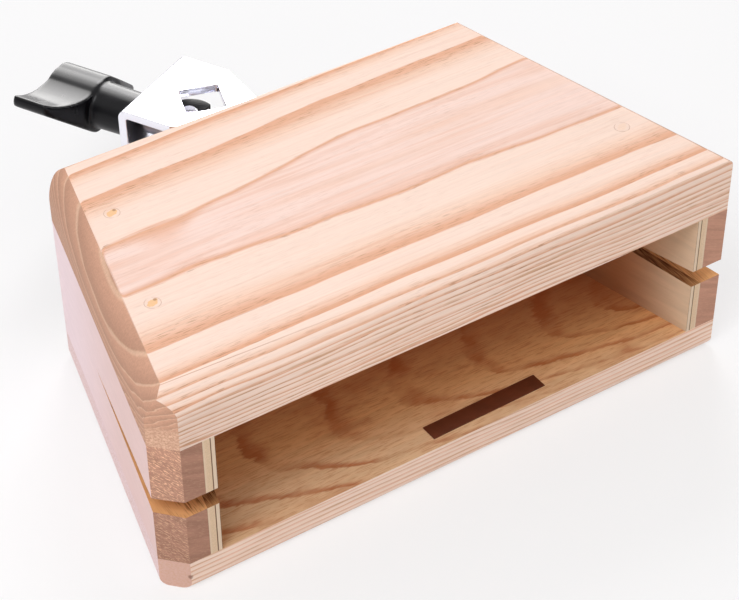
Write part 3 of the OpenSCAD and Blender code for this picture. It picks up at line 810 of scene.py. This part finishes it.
class WOODBLOCK_OT_liners(bpy.types.Operator):
    """Dresses the plywood liners"""

    bl_idname = "woodblock.liners"
    bl_label = "Liners"

    def execute(self, context):
        dressed("left_liner", "left_ply", look_of(plywood, "left", LEFT_WALL, LEFT_LINER),
                "block", "plywood", 0.0)
        dressed("right_liner", "right_ply", look_of(plywood, "right", RIGHT_WALL, RIGHT_LINER),
                "block", "plywood", 0.0)
        return {"FINISHED"}


class WOODBLOCK_OT_label(bpy.types.Operator):
    """Dresses the bare label on the cavity's floor"""

    bl_idname = "woodblock.label"
    bl_label = "Floor label"

    def execute(self, context):
        dressed("floor_label", "paper_label", look_of(label_paper), "block", "label_paper", 0.00003)
        return {"FINISHED"}


class WOODBLOCK_OT_brads(bpy.types.Operator):
    """Dresses the brads and the filler over them"""

    bl_idname = "woodblock.brads"
    bl_label = "Brads and filler"

    def execute(self, context):
        for node in ("top_brads", "bottom_brads"):
            finish_slot(look_of(zinc), node)
        for node, places in (("top_plugs", TOP_PLUGS), ("bottom_plugs", BOTTOM_PLUGS)):
            material = filler("filler_" + node, places, on_top=node == "top_plugs")
            finish_slot(material, node)
        return {"FINISHED"}


class WOODBLOCK_OT_holder(bpy.types.Operator):
    """Dresses the steel base on the back wall and its screws"""

    bl_idname = "woodblock.holder"
    bl_label = "Holder base"

    def execute(self, context):
        dressed("holder_base", "base_channel", look_of(chrome), "block", "chromed_steel",
                sizes().steel_edge)
        dressed("base_screws", "wood_screws", look_of(zinc), "block", "plain_steel", 0.0)
        return {"FINISHED"}


class WOODBLOCK_OT_clamp(bpy.types.Operator):
    """Dresses the bent strip and the parts of its pivot"""

    bl_idname = "woodblock.clamp"
    bl_label = "Clamp"

    def execute(self, context):
        edge = sizes().small_edge
        dressed("clamp_bracket", "bent_strip", look_of(chrome), "holder", "chromed_steel",
                sizes().steel_edge, 3)
        dressed("pivot_bolt", "pivot_screw", look_of(zinc), "holder", "plain_steel", edge)
        dressed("nylon_washers", "nylon_rings", look_of(black_nylon), "holder", "black_nylon", edge)
        dressed("steel_washer", "steel_ring", look_of(zinc), "holder", "plain_steel", edge)
        dressed("lock_nut", "nut", look_of(zinc), "holder", "plain_steel", edge)
        return {"FINISHED"}


class WOODBLOCK_OT_jaw(bpy.types.Operator):
    """Dresses the jaw and its steel pin"""

    bl_idname = "woodblock.jaw"
    bl_label = "Jaw"

    def execute(self, context):
        dressed("rod_jaw", "jaw_block", look_of(black_nylon), "jaw", "black_nylon", sizes().steel_edge, 3)
        dressed("jaw_pin", "jaw_rod", look_of(chrome), "jaw", "chromed_steel", sizes().small_edge)
        return {"FINISHED"}


class WOODBLOCK_OT_wing_bolt(bpy.types.Operator):
    """Dresses the stud, and rounds the handle as it comes from its mould"""

    bl_idname = "woodblock.wing_bolt"
    bl_label = "Wing bolt"

    def execute(self, context):
        dressed("wing_stud", "threaded_stud", look_of(zinc), "wing", "plain_steel", sizes().small_edge)
        handle = close_piece(open_copy("wing_handle"), "moulded_handle", look_of(black_plastic),
                             "wing", "black_plastic", "wing_handle")
        steps = handle.modifiers.new("rounded form", "REMESH")
        steps.mode, steps.voxel_size, steps.use_smooth_shade = "VOXEL", sizes().handle_grain, True
        soft = handle.modifiers.new("soft edges", "SMOOTH")
        soft.factor, soft.iterations = 0.5, 22
        return {"FINISHED"}


class WOODBLOCK_PT_panel(bpy.types.Panel):
    """The woodblock's sizes, colours and pieces in the sidebar"""

    bl_label = "Woodblock"
    bl_idname = "WOODBLOCK_PT_panel"
    bl_space_type = "VIEW_3D"
    bl_region_type = "UI"
    bl_category = "Woodblock"

    def draw(self, context):
        for group in (context.scene.woodblock_sizes, context.scene.woodblock_colours):
            box = self.layout.box()
            for name in group.__annotations__:
                box.prop(group, name)
        column = self.layout.column()
        for operator in OPERATORS:
            column.operator(operator.bl_idname)


OPERATORS = (
    WOODBLOCK_OT_stage, WOODBLOCK_OT_boards, WOODBLOCK_OT_walls, WOODBLOCK_OT_liners,
    WOODBLOCK_OT_label, WOODBLOCK_OT_brads, WOODBLOCK_OT_holder, WOODBLOCK_OT_clamp,
    WOODBLOCK_OT_jaw, WOODBLOCK_OT_wing_bolt,
)
CLASSES = (WoodblockSizes, WoodblockColours, *OPERATORS, WOODBLOCK_PT_panel)


def register():
    for made in CLASSES:
        bpy.utils.register_class(made)
    bpy.types.Scene.woodblock_sizes = bpy.props.PointerProperty(type=WoodblockSizes)
    bpy.types.Scene.woodblock_colours = bpy.props.PointerProperty(type=WoodblockColours)


def unregister():
    del bpy.types.Scene.woodblock_sizes
    del bpy.types.Scene.woodblock_colours
    for made in reversed(CLASSES):
        bpy.utils.unregister_class(made)


def main():
    register()
    for operator in OPERATORS:
        group, name = operator.bl_idname.split(".")
        getattr(getattr(bpy.ops, group), name)()


if __name__ == "__main__":
    main()
